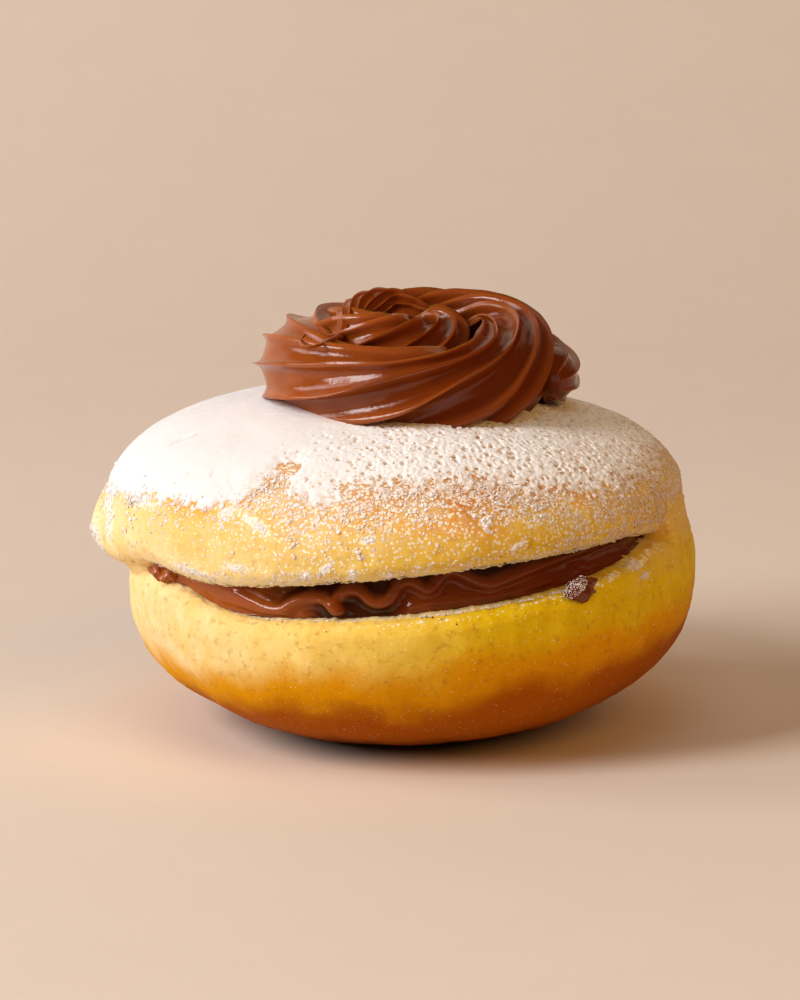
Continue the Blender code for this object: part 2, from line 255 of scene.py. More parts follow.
def bun_points(azimuth, row):
    """Points of the bun's surface, with the webs but without the crust's fine texture."""
    points = cut_points(azimuth, row)
    for start, end, low, high, share, straight in WEBS:
        creased = (row - low) / (high - low)
        facing = around(azimuth)
        uncut = share * rise(facing, start, end) * rise(np.abs(facing), 180, 150)  # fades out at the back
        uncut = uncut * ((creased > 0) & (creased < 1))
        here = np.flatnonzero(uncut > 0)
        below, above = (cut_points(azimuth[here], np.full(len(here), edge)) for edge in (low, high))
        climb = mix(rise(creased[here], 0, 1), creased[here], straight)
        bridge = below + (above - below) * climb[:, None]
        points[here] += (bridge - points[here]) * uncut[here, None]
    return points


def bun_normals(azimuth, row):
    """The direction straight out of the crust at each point."""
    turn, climb = 0.2, 0.004  # small steps across and up
    row = np.clip(row, 0.01, 6.985)
    along = bun_points(azimuth + turn, row) - bun_points(azimuth - turn, row)
    up = bun_points(azimuth, row + climb) - bun_points(azimuth, row - climb)
    return unit(np.cross(along, up))


# %% [markdown]
# ## Wrapping a sheet
# Spin can turn one outline round an axis, but here the outline changes with the azimuth. So a flat grid is made, each
# point is moved to its own place on the bun, and edges that meet are welded. Crust, sugar, filling and rosette are all
# made like that.


# %% A helper that wraps a grid
def wrapped(name, columns, rows, place, cap=False, **marks):
    """A grid whose points are put where place(across, up) says, with both numbers from 0 to 1. A mark is a function
    of the same two numbers whose value is kept at each point under its own name."""
    bm = bmesh.new()
    bmesh.ops.create_grid(bm, x_segments=columns, y_segments=rows, size=0.5)
    flat = np.array([vert.co for vert in bm.verts]) + 0.5
    for mark, value_at in marks.items():
        layer = bm.verts.layers.float.new(mark)
        for vert, value in zip(bm.verts, value_at(flat[:, 0], flat[:, 1])):
            vert[layer] = value
    for vert, point in zip(bm.verts, place(flat[:, 0], flat[:, 1])):
        vert.co = point
    bmesh.ops.remove_doubles(bm, verts=bm.verts, dist=0.0005 * MM)
    if cap:
        bmesh.ops.holes_fill(bm, edges=[edge for edge in bm.edges if edge.is_boundary], sides=0)
        bmesh.ops.triangulate(bm, faces=[face for face in bm.faces if len(face.verts) > 4])
    bmesh.ops.recalc_face_normals(bm, faces=bm.faces)
    return finished(name, bm)


def placed(name, data):
    """A new object at the origin."""
    made = bpy.data.objects.new(name, data)
    bpy.context.scene.collection.objects.link(made)
    return made


def smooth_mesh(name, bm):
    mesh = bpy.data.meshes.new(name)
    bm.to_mesh(mesh)
    bm.free()
    mesh.shade_smooth()
    return mesh


def finished(name, bm):
    """The bmesh becomes a piece of the bun, with its place in its mesh."""
    mesh = smooth_mesh(name, bm)
    piece = placed(name, mesh)
    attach(piece, "root")
    print(name, "has", sum(len(face.vertices) - 2 for face in mesh.polygons), "triangles")
    return piece


# %% [markdown]
# ## Where the sugar lies
# Powdered sugar was sifted onto the top after frying. It lies thick and smooth at the upper left, turns into loose
# clumps towards the right, and stops in a ragged line above the shoulder. Below that line only specks have stuck. One
# function says how deep it lies anywhere, and both the coat and the scattered grains follow it.

# %% The depth of the sugar
SUGAR_EDGE = np.array(  # azimuth, height of the ragged lower edge in mm
    [(-180, 41), (-130, 40), (-100, 38.5), (-82, 38.0), (-60, 39.6), (-43, 40.7), (-35, 41.5), (-31, 44.6), (-27, 45.8)]
    + [(-23.5, 43.2), (-18, 42.6), (-10, 43.8), (8, 44.2), (18, 44.8), (26, 43.2), (34, 42.2), (50, 41.2), (64, 41)]
    + [(100, 41.5), (180, 41)]
).T
SUGAR_DEPTH, LOOSE_DEPTH, LACE = 0.6 * MM, 0.42 * MM, 0.32 * MM
GRANULE, PORE = 0.7, 1.0  # how far apart they are in loose sugar, in mm


def sugar_margin(azimuth, points):
    """How far inside the sugar's edge a point lies, in millimetres of height."""
    edge = np.interp(around(azimuth), *SUGAR_EDGE)
    ragged = 1.2 * uneven(points, 5, 2, 3.0), 0.5 * uneven(points, 1.3, 1, 31.0)
    return points[:, 2] / MM - edge + ragged[0] + ragged[1]


def looseness(azimuth):
    """0 where the sugar is packed smooth, 1 where it lies in loose clumps."""
    return rise(around(azimuth), -42, 6) * (1 - rise(around(azimuth), 105, 165))


DENT_RADIUS = 41  # how far from the axis the dents lie, in mm
DENTS = (  # azimuth, height, half width and depth, in mm
    (-68, 47.2, 0.7, 0.7), (-65, 48.2, 0.4, 0.4), (-64, 42.8, 0.45, 0.4), (-62, 41.8, 0.4, 0.4), (-50, 44.6, 0.4, 0.3),
    (-27, 46.9, 0.5, 0.5), (-25, 46.9, 0.6, 0.6), (-44, 45.0, 0.4, 0.3),
)


def dents(azimuth, points):
    """How deep small knocks in the sugar are."""
    along, total = np.radians(around(azimuth)) * DENT_RADIUS, 0.0
    for turn, height, wide, deep in DENTS:
        off = np.hypot(along - np.radians(turn) * DENT_RADIUS, points[:, 2] / MM - height)
        total = total + deep * bump(off, 0, wide)
    return total * MM


def sugar_depth(azimuth, points):
    """How deep the sugar lies. Below zero the crust is bare."""
    margin, loose = sugar_margin(azimuth, points), looseness(azimuth)
    depth = mix(SUGAR_DEPTH, LOOSE_DEPTH, loose) * rise(margin, -1.0, 5.5)
    shoulder = rise(points[:, 0], 32 * MM, 45 * MM) * 0.12 * MM
    lumpy = uneven(points, 7, 2, 11.0) * mix(0.14, 0.08, loose) * MM
    clumps = uneven(points, 1.6, 2, 5.0) * mix(0.04, 0.08, loose) * MM
    granules = (0.3 - np.minimum(cells(points, GRANULE, 5.0)[0], 0.9) ** 2) * mix(0.02, 0.18, loose) * MM
    off_pore, chance = cells(points, PORE, 21.0)
    pits = bump(off_pore, 0, 0.3) * (chance < mix(0.06, 0.42, loose)) * mix(0.1, 1.1, loose) * MM
    lace = LACE * bump(margin, 0, 2.2) * uneven(points, 0.8, 1, 17.0)
    edge = -0.34 * MM * (1 - rise(margin, -2.5, 1.5)) + lace
    return depth + lumpy * rise(margin, 0, 4) + clumps + granules - pits + edge - shoulder - dents(azimuth, points)


# %% [markdown]
# ## Patches of sugar
# Below the coat lie a streak and a rim of sugar beside the left nub, a few big clumps, and smears along the upper lip.
# Each patch thins out from its middle. The crust's material draws its smooth part, and grains are strewn on it later.

# %% Patches of sugar below the coat
PATCHES = (  # azimuth, height, half width and half height in mm, lean, grains, grain size in mm
    (-79, 37.2, 2.2, 1.6, 0.0, 60, 0.17),
    (-75, 34.2, 1.9, 2.4, -0.3, 70, 0.17),
    (-85, 29.8, 2.4, 2.8, 0.0, 120, 0.16),
    (-62, 39.6, 5.0, 0.7, 0.05, 80, 0.17),
    (-43, 31.3, 3.8, 0.6, -0.1, 70, 0.12),
    (-36, 40.8, 1.2, 0.5, 0.1, 25, 0.13),
    (-29, 39.6, 2.2, 0.6, -0.4, 50, 0.14),
    (-32, 33.0, 2.0, 0.5, 0.0, 35, 0.13),
    (-18, 32.6, 0.6, 0.6, 0.0, 25, 0.14),
    (-14, 34.0, 0.9, 0.6, 0.6, 30, 0.14),
    (-9, 33.0, 0.5, 1.0, 0.1, 30, 0.14),
    (-2, 33.0, 0.6, 0.4, 0.0, 25, 0.14),
    (0.5, 32.0, 0.9, 0.4, 0.0, 45, 0.15),
    (16.8, 40.6, 0.6, 0.5, 0.0, 60, 0.26),
    (22.6, 37.0, 1.0, 0.35, 0.4, 30, 0.16),
    (-6, 38.4, 0.8, 0.4, 0.0, 20, 0.15),
    (36.5, 34.0, 0.6, 0.4, 0.0, 25, 0.17),
    (53, 30.9, 1.3, 0.6, 0.2, 50, 0.16),
    (53.5, 29.0, 0.8, 0.3, 0.0, 40, 0.18),
)

# %% [markdown]
# ## The crust
# The crust is one closed skin: the flat spot it rests on, the belly, the lower lip, the two cut faces inside the slit
# and the dome. Its rows are close together where it shows and far apart in the pocket. The cut tore the dough a
# little, so the lips get a finer, sharper noise than the rest.

# %% Make the crust
CRUST_COLUMNS, CRUST_ROWS = 500, (3, 52, 18, 9, 9, 24, 78)
LIP_TEAR = 0.34 * MM


def crowded(across, degrees=24.0):
    """Azimuths all round, with more of them towards the front."""
    turn = (across - 0.5) * 2 * np.pi
    return np.degrees(turn) - degrees * np.sin(turn)


def crust_place(across, up):
    ends = np.cumsum((0,) + CRUST_ROWS) / sum(CRUST_ROWS)
    row, azimuth = np.interp(up, ends, np.arange(8)), crowded(across)
    azimuth = np.where((row <= 0) | (row >= 7), 0, azimuth)
    points = bun_points(azimuth, row)
    shown = rise(row, 1.0, 1.15) * (row < 6.99) * ((row <= 3.4) | (row >= 4.6))
    near_lip = np.maximum(bump(row, 3.0, 0.35), bump(row, 5.0, 0.35))
    near_lip = near_lip * (1 - rise(row, 3.02, 3.2) * (1 - rise(row, 4.8, 4.98)))
    texture = 0.085 * MM * uneven(points, 1.5, 2, 2.0) + 0.2 * MM * uneven(points, 6, 1, 9.0)
    tear = LIP_TEAR * near_lip * (uneven(points, 0.9, 2, 4.0) + 0.6 * uneven(points, 3.2, 1, 8.0))
    return points + bun_normals(azimuth, row) * ((texture + tear) * shown)[:, None]


crust = wrapped("bun_crust", CRUST_COLUMNS, sum(CRUST_ROWS), crust_place)
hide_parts("bun")

# %% [markdown]
# The crust's material reads two numbers at each point. Dusting says how much sugar too fine to be modelled fell there:
# most near the coat, on the patches and along the lower lip. Crumb says where the knife bared the pale inside.


# %% Dusting and crumb on the crust
def keep(piece, name, value):
    """Stores a number at each point of a piece, for its material to read."""
    layer = piece.data.attributes.new(name, "FLOAT", "POINT")
    layer.data.foreach_set("value", value.astype(np.float32))


def points_of(piece):
    flat = np.empty(len(piece.data.vertices) * 3, dtype=np.float32)
    piece.data.vertices.foreach_get("co", flat)
    return flat.reshape(-1, 3).astype(float)


at = points_of(crust)
facing = azimuth_of(at)
section = Section(facing)
soft = mix(0.1, 4, rise(facing, 58, 68)) * MM
above_slit = rise(at[:, 2] - section.cut, -soft, soft)
dusted = 0.42 + 0.35 * rise(sugar_margin(facing, at), -12, 1)
below_slit = 0.1 * rise(at[:, 2], 17 * MM, 27 * MM)
settled = mix(0.35, 1.0, rise(facing, -46, -24)) * mix(1.0, 0.7, rise(facing, 34, 60))
dusted = mix(below_slit, dusted * settled, above_slit)
for azimuth, height, half_width, half_height, lean, *_ in PATCHES:
    across = np.radians(facing - azimuth) * UPPER_RADIUS / MM
    up = at[:, 2] / MM - height - lean * across
    dusted += 2.0 * np.exp(-((across / half_width) ** 2 + (up / half_height) ** 2)) * (at[:, 1] < 0.01)
edge = bump(at[:, 2], section.lower_lip - 0.3 * MM, 0.5 * MM) * rise(facing, -30, 5)
edge = edge * (1 - rise(facing, CUT_HALF_ANGLE - 6, CUT_HALF_ANGLE))
dusted += edge * np.clip(0.7 + uneven(at, 2, 2, 44.0), 0, 2)
inwards = np.minimum(section.upper, section.lower) - np.linalg.norm(at[:, :2], axis=1)
from_cut = np.abs(at[:, 2] - section.cut) - section.gape / 2
crumb = rise(inwards, 1.6 * MM, 3.6 * MM) * (1 - rise(from_cut, 0.8 * MM, 2.6 * MM))
rim = (1 - rise(from_cut, 0.1 * MM, 2.6 * MM)) * mix(0.9, 0.4, looseness(facing))
rim = rim * (at[:, 2] > section.cut)
sliced = 1 - rise(np.abs(facing - CUT_CENTRE), CUT_HALF_ANGLE - 8, CUT_HALF_ANGLE)
keep(crust, "crumb", np.maximum(crumb, rim) * sliced)
keep(crust, "dusting", dusted * (1 - rise(inwards, 0.8 * MM, 2.0 * MM) * (from_cut < 0.6 * MM)))

# %% [markdown]
# ## The coat of sugar
# The coat is a sheet a little above the crust, which dips under it wherever the sugar is missing. Its edge is then
# ragged, with bare islands, as sifted sugar is. It is made in four pieces that overlap a little, so that the front
# can be fine enough for clumps of half a millimetre. The rosette hides where it ends.

# %% Make the coat
COAT_ROWS, COAT_OVERLAP = (5.85, 6.8), 1.2  # the overlap is in degrees


def coat(name, first, last, columns, rows):
    def place(across, up):
        azimuth, row = mix(first, last, across), mix(COAT_ROWS[0], COAT_ROWS[1], up**0.9)
        points = bun_points(azimuth, row)
        tucked = 0.03 * MM * (1 - rise(np.minimum(across, 1 - across) * (last - first), 0, COAT_OVERLAP))
        return points + bun_normals(azimuth, row) * (sugar_depth(azimuth, points) - tucked)[:, None]

    piece = wrapped(name, columns, rows, place)
    at = points_of(piece)
    azimuth = azimuth_of(at)
    covering = mix(0.12, 0.26, looseness(azimuth)) * MM
    keep(piece, "thinness_and_painted_shade", 1 - rise(sugar_depth(azimuth, at), 0.02 * MM, covering))
    return piece


sugar_coats = [
    coat("sugar_coat_left", -111, -11, 400, 210),
    coat("sugar_coat_right", -13, 45, 340, 260),
    coat("sugar_coat_far_right", 43, 111, 340, 240),
    coat("sugar_coat_back", 109, 251, 220, 130),
]

# %% [markdown]
# ## Loose sugar
# Clumps and flakes of 0.2 to 1 mm lie on the coat and below its edge. Each is a ball of twenty faces, stretched and
# turned at random, and thousands of them are joined into one mesh per kind.

# %% Scatter the loose sugar
rng = np.random.default_rng(20)
seed_ball = bmesh.new()
bmesh.ops.create_icosphere(seed_ball, subdivisions=1, radius=1)
BALL = np.array([vert.co for vert in seed_ball.verts])
BALL_FACES = np.array([[vert.index for vert in face.verts] for face in seed_ball.faces])
seed_ball.free()


def grains(name, centres, normals, sizes):
    """One mesh of small flakes, each a flattened, dented copy of the ball that lies on the crust."""
    count = len(centres)
    up = unit(normals + rng.normal(0, 0.2, (count, 3)))
    side = unit(np.cross(up, rng.normal(size=(count, 3))))
    frames = np.stack([side, np.cross(up, side), up], axis=1)
    stretch = sizes[:, None] * rng.uniform((0.9, 0.8, 0.3), (1.5, 1.2, 0.5), (count, 3))
    shapes = BALL * rng.uniform(0.6, 1.3, (count, len(BALL), 1)) * stretch[:, None]
    verts = np.einsum("nkj,nji->nki", shapes, frames) + centres[:, None]
    faces = BALL_FACES + np.arange(count)[:, None, None] * len(BALL)
    mesh = bpy.data.meshes.new(name)
    mesh.from_pydata(verts.reshape(-1, 3).tolist(), [], faces.reshape(-1, 3).tolist())
    piece = placed(name, mesh)
    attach(piece, "root")
    print(name, "has", count, "grains,", count * len(BALL_FACES), "triangles")
    return piece


def strewn(name, azimuths, rows, count, size, density, largest=np.inf, proud=0.3, gap=0.05 * MM, buried=False):
    """Grains thrown at random onto the crust, or onto the coat where it is buried, and kept where density is high.
    Size and largest are in mm, and proud is a share of the size."""
    azimuth, row = rng.uniform(*azimuths, count), rng.uniform(*rows, count)
    at = bun_points(azimuth, row)
    chosen = rng.uniform(size=count) < density(azimuth, row, at)
    azimuth, row, at = azimuth[chosen], row[chosen], at[chosen]
    sizes = np.minimum(rng.lognormal(math.log(size), 0.4, len(at)), largest) * MM
    normals = bun_normals(azimuth, row)
    lift = sizes * proud + gap + (np.maximum(sugar_depth(azimuth, at), 0) if buried else 0)
    return grains(name, at + normals * lift[:, None], normals, sizes)


def on_coat(azimuth, row, at):
    margin, loose = sugar_margin(azimuth, at), looseness(azimuth)
    lace = 0.5 * bump(margin, -1.2, 2.4) * mix(0.35, 1.0, rise(azimuth, -44, -30))
    return lace + 0.13 * loose * rise(margin, 0, 3) * (1 - 0.5 * rise(margin, 3, 10))


def below_coat(azimuth, row, at):
    margin = sugar_margin(azimuth, at)
    patches = rise(uneven(at, 2.4, 2, 14.0), -0.35, 0.3)
    spread = 0.25 * rise(margin, -16, -10) + 0.75 * rise(margin, -9, -1)
    spread = spread * (1 - rise(azimuth, 58, 68) * (1 - rise(row, 5.3, 6.0))) * mix(1.0, 0.4, rise(azimuth, 48, 66))
    spread = 0.62 * spread * (1 - rise(margin, 0, 3)) * mix(0.1, 1.0, rise(azimuth, -46, -28))
    return spread * mix(0.2, 1.0, patches)


SIFTED = {"largest": 0.36, "proud": 0.2, "gap": 0}
clumps = strewn("sugar_clumps", (-95, 105), (5.9, 6.7), 60000, 0.125, on_coat, buried=True, **SIFTED)
flakes = strewn("sugar_flakes", (-110, 110), (5.05, 6.4), 40000, 0.13, below_coat, **SIFTED)

# %% [markdown]
# The patches get their grains now. A thin line of sugar stuck to the lower lip, torn crumbs hang on the upper one, and
# a few specks of cream lie below the slit. They lie in groups, so a noise thins them.

# %% Grains on the patches and the lips
def rows_at(azimuth, heights):
    """The rows of the crust at these heights, above or below the slit, at one azimuth."""
    above = heights.mean() > Section(np.array([azimuth])).cut[0]
    rows = np.linspace(*((5.02, 6.9) if above else (1.0, 2.98)), 400)
    return np.interp(heights, Section(np.full(400, float(azimuth))).outline(rows)[1], rows)


def strewn_patches(name):
    azimuths, rows, sizes = [], [], []
    for azimuth, height, half_width, half_height, lean, count, size in PATCHES:
        across, up = rng.normal(0, 0.55, (2, count))
        azimuths.append(azimuth + np.degrees(across * half_width * MM / UPPER_RADIUS))
        rows.append(rows_at(azimuth, (height + up * half_height + lean * across * half_width) * MM))
        sizes.append(rng.lognormal(math.log(size), 0.35, count) * MM)
    azimuths, rows, sizes = (np.concatenate(parts) for parts in (azimuths, rows, sizes))
    normals = bun_normals(azimuths, rows)
    return grains(name, bun_points(azimuths, rows) + normals * (sizes * 0.25)[:, None], normals, sizes)


def gathered(azimuth, row, at):
    return rise(uneven(at, 1.8, 2, 41.0), -0.4, 0.35)


loose_sugar = [
    clumps,
    flakes,
    strewn_patches("sugar_patches"),
    strewn("sugar_lip_0", (4, 44), (2.8, 2.98), 700, 0.09, gathered),
    strewn("sugar_lip_1", (-44, 60), (2.8, 2.98), 600, 0.08, gathered),
]
# The grains are tinted tan, more towards the right: partly sugar soaked by fat, partly painted warm shade on the shaded
# right side.
for piece, thin in zip(loose_sugar, (0.05, 0.35, 0.0, 0.2, 0.3)):
    keep(piece, "thinness_and_painted_shade", thin + 0.6 * rise(points_of(piece)[:, 0], 10 * MM, 40 * MM))
cream_specks = strewn("cream_specks", (-52, 30), (2.3, 2.95), 26, 0.08, gathered)
lip_crumbs = strewn("lip_crumbs", (-56, 60), (4.98, 5.2), 2600, 0.13, gathered)
keep(lip_crumbs, "crumb", np.ones(len(lip_crumbs.data.vertices)))

# %% [markdown]
# ## The filling
# The cream was piped into the slit and bulged until it met both cut faces. The sheet's section is the slit's own,
# closed by a face. A folded bead wanders along it: a smooth path, near which the face stands out.

# %% The folds of the filling
FILLING_AZIMUTHS = (-61.5, 66.5)
FILLING_RECESS = (  # azimuth, how far the face stands back from the mouth of the slit in mm
    (-62, 0.3), (-50, -0.1), (-36, 0.0), (-27, 0.7), (-16, 1.6), (20, 1.7), (42, 1.4), (56, 1.4), (66, 2.4)
)
FOLDS = (  # how proud, how wide, then the path: millimetres across the front and up
    (2.2, 1.05, ((-29, 28.2), (-27, 27.4), (-24.6, 27.1), (-22.4, 26.4), (-19.7, 25.8), (-17.6, 26.0), (-16.0, 27.2))
     + ((-13.8, 28.1), (-11.6, 28.1), (-10.3, 27.4), (-9.3, 26.6))),
    (2.5, 1.05, ((-9.4, 26.2), (-9.7, 27.4), (-9.3, 28.5), (-8.2, 29.3), (-6.8, 29.6), (-5.7, 29.3), (-4.7, 28.5))
     + ((-3.4, 28.0), (-1.9, 28.4), (-0.9, 29.5), (-0.3, 30.5), (0.8, 31.1), (2.0, 31.0), (3.0, 30.5), (4.0, 30.0))
     + ((5.0, 30.7), (6.2, 32.0), (7.5, 32.6), (8.8, 32.2), (9.9, 31.7), (13.1, 30.6), (17.2, 31.7), (21.6, 32.9))
     + ((26.1, 34.0), (31.6, 34.9), (36.3, 35.6))),
    (0.45, 0.35, ((-25.4, 28.3), (-23.3, 28.5), (-21.1, 28.0), (-18.9, 27.1))),
    (0.9, 0.38, ((-34.6, 30.3), (-33.2, 29.3), (-32.0, 28.4), (-30.4, 27.8), (-28.4, 27.4))),
    (0.7, 0.4, ((-33.0, 30.2), (-30.4, 29.6), (-28.2, 29.0), (-26.0, 28.7))),
    (0.5, 0.8, ((2.0, 27.4), (8.0, 28.0), (15.0, 28.4), (22.0, 29.6))),
)
NUBBIN_AZIMUTH, NUBBIN_SPREAD, NUBBIN_PROUD, NUBBIN_DROOP = -58.5, 3.6, 2.4 * MM, 0.6 * MM
UNDERCUT, STAND_OUT = 2.7 * MM, 0.35 * MM  # how far back it stands under the upper lip, how far out of the slit
INSIDE = 0.1  # share of the sheet that lies on each cut face, behind the front


def smooth_read(table, place):
    """Rows of a table read along a smooth curve, at places counted in rows."""
    table = np.asarray(table, dtype=float)
    place = np.clip(place, 0, len(table) - 1)
    at = np.minimum(place.astype(int), len(table) - 2)
    a, b, c, d = (table[np.clip(at + step, 0, len(table) - 1)] for step in (-1, 0, 1, 2))
    share = (place - at)[:, None]
    return b + share / 2 * (c - a + share * (2 * a - 5 * b + 4 * c - d + share * (3 * (b - c) + d - a)))


def off_path(places, path):
    """How far each place lies from a path of straight stretches."""
    path = np.array(path, dtype=float)
    nearest = np.full(len(places), np.inf)
    for start, end in zip(path, path[1:]):
        ahead = end - start
        share = np.clip((places - start) @ ahead / (ahead @ ahead), 0, 1)
        nearest = np.minimum(nearest, np.linalg.norm(places - start - share[:, None] * ahead, axis=1))
    return nearest


def rounded(path):
    """A path with smooth bends, five points for each given one."""
    return smooth_read(path, np.linspace(0, len(path) - 1, 5 * len(path)))


# %% Make the filling
def filling_place(across, up):
    azimuth = mix(*FILLING_AZIMUTHS, across)
    section = Section(azimuth)
    nubbin = bump(azimuth, NUBBIN_AZIMUTH, NUBBIN_SPREAD)
    recess = np.interp(azimuth, *np.array(FILLING_RECESS).T) * MM - NUBBIN_PROUD * nubbin
    mouth = np.minimum(*section.mouths)
    start = np.arcsin(np.clip(recess / section.depth, 0, 0.4)) * 2 / np.pi
    squeeze = np.minimum(0.1 * MM, section.gape / 4)
    inner = np.clip(up / INSIDE, 0, 1), np.clip((1 - up) / INSIDE, 0, 1)
    low, high = (section.wall(mix(0.5, start, share), side) for side, share in enumerate(inner))
    share = np.clip((up - INSIDE) / 0.8, 0, 1)
    shown = (up > INSIDE) & (up < 0.9)
    front = mouth - recess - UNDERCUT * section.open * rise(azimuth, -48, -14) * share**1.4
    radius = np.where(shown, front, np.where(up <= INSIDE, low[0], high[0]))
    height = mix(low[1] + squeeze, high[1] - squeeze, share) - NUBBIN_DROOP * nubbin * (1 - share)
    height = np.where(up <= INSIDE, low[1] + squeeze, np.where(up >= 0.9, high[1] - squeeze, height))
    points = outwards(azimuth) * radius[:, None]
    points[:, 2] = height
    places = points[:, ::2] / MM
    relief = sum(proud * bump(off_path(places, rounded(path)), 0, wide) for proud, wide, path in FOLDS)
    relief = relief * rise(share, 0, 0.22) * rise(1 - share, 0, 0.1) * MM
    wrinkle = uneven(points * np.array([1, 1, 2.2]), 3.4, 2, 6.0) * 0.2 * MM
    room = mouth + STAND_OUT + 0.3 * MM - radius
    proud = room * np.tanh((relief + wrinkle) / np.maximum(room, 0.3 * MM)) * shown
    return points + outwards(azimuth) * proud[:, None]


filling = wrapped("filling", 640, 100, filling_place)
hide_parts("cream_filling")

# %% [markdown]
# Above the bead and below its middle folds the cream lies in deep shade, and that shade is painted into its colour. A
# number kept on the filling says where the cream's material paints it nearly black.

# %% Painted shade in the hollows beside the bead
at = points_of(filling)
bead = np.vstack([rounded(path) for *_, path in FOLDS[:2]])
off_bead = off_path(at[:, ::2] / MM, bead)
line = bead[np.argsort(bead[:, 0])]
above = at[:, 2] / MM > np.interp(at[:, 0] / MM, *line.T)
facing = azimuth_of(at)
painted_shade_above = rise(facing, -32, -22) * (1 - rise(facing, 20, 45))
painted_shade_below = rise(facing, -22, -17) * (1 - rise(facing, -3, 3))
# Painted shade: 1 where the cream is painted nearly black beside the bead.
keep(filling, "painted_hollow_shade", rise(off_bead, 0.5, 1.3) * np.where(above, painted_shade_above, painted_shade_below))

# %% [markdown]
# Where the nozzle was pulled out, at the left end of the slit, a torn stub of cream with pointed corners was left. Two
# balls are enough for it. A ball gets a corner by pushing its points out, the more the nearer they face that way.


# %% Make the torn stub and the smear
def lump(bm, centre, level, size, corners, rough, sharpness=13.0):
    """A ball with corners pulled out of it. A corner is (across, out, up, how far)."""
    side = np.cross(level, (0, 0, 1))
    made = bmesh.ops.create_icosphere(bm, subdivisions=4, radius=1)["verts"]
    for vert in made:
        facing = np.array(vert.co)
        reach = 1 + rough * noise.noise(vert.co * 2.3) + rough * 0.5 * noise.noise(vert.co * 6)
        for *towards, far in corners:
            towards = np.array(towards) / np.linalg.norm(towards)
            reach += far * math.exp(sharpness * (facing @ towards - 1))
        across, out, up = facing * reach * size
        vert.co = centre + side * across + level * out + np.array([0, 0, up])


def cream_lumps(name, balls):
    bm = bmesh.new()
    for azimuth, height, proud, size, corners, rough in balls:
        azimuth = np.array([azimuth])
        level = outwards(azimuth)[0]
        centre = level * (Section(azimuth).lower[0] + proud * MM) + np.array([0, 0, height * MM])
        lump(bm, centre, level, np.array(size) * MM, corners, rough)
    piece = finished(name, bm)
    return piece


stub = cream_lumps("filling_stub", (
    (-60.4, 28.4, -1.3, (1.15, 1.8, 1.2), ((1, 0.3, -0.1, 1.5), (0.1, 0.3, 1, 1.4), (-0.4, 0.6, -1, 0.6)), 0.3),
    (-56.2, 28.4, -1.6, (1.1, 1.8, 1.4), ((-0.4, 0.4, 1, 0.6), (0.5, 0.6, -0.6, 0.5)), 0.3),
))
smear = cream_lumps("smear", (
    (36.4, 29.0, -0.4, (2.3, 1.5, 1.7), ((-1, 0.1, 0.75, 0.55), (1, 0.2, -0.35, 0.3), (-0.2, 0.2, -1, 0.3)), 0.34),
))
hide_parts("cream_smear")
SMEAR_GRAINS = 1100
at = points_of(smear)
away = unit(at - at.mean(axis=0))
dusted = np.flatnonzero(away @ unit(np.array([[-0.7, -0.4, 0.9]]))[0] > 0.25)
picked = rng.choice(dusted, SMEAR_GRAINS)
sizes = rng.lognormal(math.log(0.065), 0.4, SMEAR_GRAINS) * MM
smear_sugar = grains("sugar_on_smear", at[picked], away[picked], sizes)

# %% [markdown]
# ## The rosette
# A star nozzle gives a rope with sharp ridges and rounded valleys. The baker laid one turn of it anticlockwise,
# spiralled inwards and upwards, and pulled the nozzle off to the left, which drew the rope out into a ribbed flap and
# a thread. Here the rope is a sheet rolled into a tube with a star outline and led along that spiral.

# %% Make the rosette
ROSETTE_CENTRE = np.array([1.1 * MM, 0, 0])
RIDGES, RIDGE_DEPTH, RIDGE_SHARPNESS, RIDGE_LEAN, RIDGE_LIP = 9, 0.32, 0.56, 0.55, 0.24 * MM
PRESSED = 0.17  # how far the nozzle pushed in the inner side of the first turn
ROPE = (  # turns, spiral radius, height of the rope's centre, rope radius, turns of the star
    (-0.035, 22.6, 55.0, 2.2, -0.54),
    (-0.022, 22.8, 55.2, 3.9, -0.52),
    (0.0, 22.7, 55.4, 4.8, -0.50),
    (0.05, 21.8, 55.8, 5.2, -0.45),
    (0.12, 19.2, 56.6, 6.0, -0.38),
    (0.28, 16.6, 57.4, 6.9, -0.22),
    (0.50, 16.8, 57.0, 7.4, 0.00),
    (0.66, 16.6, 56.0, 7.6, 0.11),
    (0.82, 17.0, 55.6, 7.9, 0.27),
    (0.90, 16.8, 56.8, 7.8, 0.36),
    (1.00, 15.8, 59.4, 7.2, 0.48),
    (1.15, 13.2, 60.6, 6.4, 0.68),
    (1.40, 10.0, 60.4, 5.8, 0.98),
    (1.65, 7.6, 60.3, 5.6, 1.28),
    (1.85, 6.0, 60.5, 5.3, 1.52),
    (2.02, 4.6, 61.0, 5.0, 1.72),
    (2.16, 3.4, 62.1, 4.2, 1.89),
    (2.26, 3.7, 64.2, 3.2, 2.02),
    (2.34, 4.9, 65.5, 2.8, 2.14),
    (2.43, 6.4, 65.8, 2.45, 2.27),
    (2.49, 8.5, 65.1, 2.1, 2.37),
    (2.54, 10.0, 64.0, 1.6, 2.44),
    (2.575, 11.4, 63.0, 1.1, 2.48),
    (2.60, 13.4, 62.6, 0.6, 2.50),
    (2.622, 17.2, 62.7, 0.32, 2.51),
    (2.632, 20.2, 62.6, 0.27, 2.52),
    (2.622, 21.8, 62.4, 0.24, 2.53),
    (2.60, 20.4, 62.7, 0.23, 2.54),
    (2.588, 18.6, 63.3, 0.22, 2.55),
)
